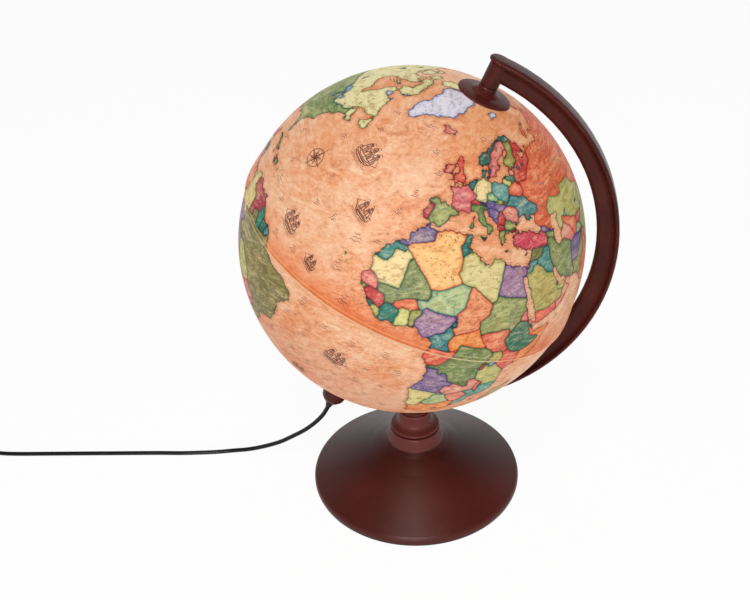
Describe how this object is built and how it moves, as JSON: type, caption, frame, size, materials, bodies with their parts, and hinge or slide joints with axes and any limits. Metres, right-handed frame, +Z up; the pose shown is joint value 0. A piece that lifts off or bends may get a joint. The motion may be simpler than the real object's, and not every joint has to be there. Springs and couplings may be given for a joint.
{
  "type": "illuminated globe",
  "caption": "Illuminated desk globe: printed plastic ball that turns on a tilted half arm over a bell-shaped base, with a lamp inside and a black mains cord with switch and plug.",
  "frame": {"origin": "centre of the felt pad's underside, on the table under the stem", "axes": "+Z up; +X towards the side of the half arm, to which the north pole leans; +Y across the arm's plane, away from the picture's camera"},
  "size_m": [0.6944, 0.253, 0.3657],
  "materials": {
    "stand_plastic": "satin moulded plastic, dark reddish brown",
    "map_print": "printed map under a satin coat, parchment ocean",
    "felt": "dense felt",
    "steel": "zinc-plated steel",
    "ballast_steel": "raw steel plate",
    "brass": "plain brass",
    "inner_plastic": "natural cream plastic",
    "fibre": "black fibre washer",
    "porcelain": "glazed cream holder",
    "bulb_glass": "frosted glass",
    "bulb_metal": "rolled screw base",
    "tungsten": "wire on a glass stem",
    "cord": "soft black cord jacket",
    "cord_plastic": "black moulded plastic",
    "rocker_plastic": "black polished plastic",
    "plug_metal": "nickel-plated pins"
  },
  "bodies": {
    "stand": {"felt_pad": "felt", "base_shell": "stand_plastic", "ballast_plate": "ballast_steel", "ballast_screws": "steel", "stem": "stand_plastic", "stem_bolt": "steel", "stem_washer": "steel", "foot_insert": "brass", "arm": "stand_plastic", "pole_pin": "steel", "friction_washer": "fibre", "thrust_washer": "steel", "pole_clip": "steel", "lamp_cap": "stand_plastic", "lamp_ring": "steel", "holder_body": "porcelain", "holder_thread": "brass", "holder_contact": "brass", "holder_nipple": "brass", "nipple_nut": "brass", "bulb_base": "bulb_metal", "bulb_glass": "bulb_glass", "bulb_filament": "tungsten", "lead_wires": "cord", "cord_grip": "cord", "cord_run": "cord", "cord_link": "cord", "cord_coil": "cord", "cord_tail": "cord", "cord_tie": "cord_plastic", "switch_base": "cord_plastic", "switch_cover": "cord_plastic", "switch_screws": "steel", "plug_body": "cord_plastic", "plug_pins": "plug_metal", "plug_sleeves": "cord_plastic"},
    "globe": {"north_cap": "stand_plastic", "pole_bush": "inner_plastic", "north_nut": "inner_plastic", "north_shell": "map_print", "equator_hoop": "inner_plastic", "south_shell": "map_print", "south_collar": "inner_plastic"},
    "rocker": {"switch_rocker": "rocker_plastic"}
  },
  "joints": [
    {"name": "globe_spin", "type": "hinge", "parent": "stand", "child": "globe", "pos_m": [0, 0, 0.2246], "axis": [0.4099, 0, 0.9121], "continuous": true},
    {"name": "switch_rock", "type": "hinge", "parent": "stand", "child": "rocker", "pos_m": [-0.422, -0.012, 0.0126], "axis": [0, 1, 0], "range_deg": [0, 20]}
  ]
}
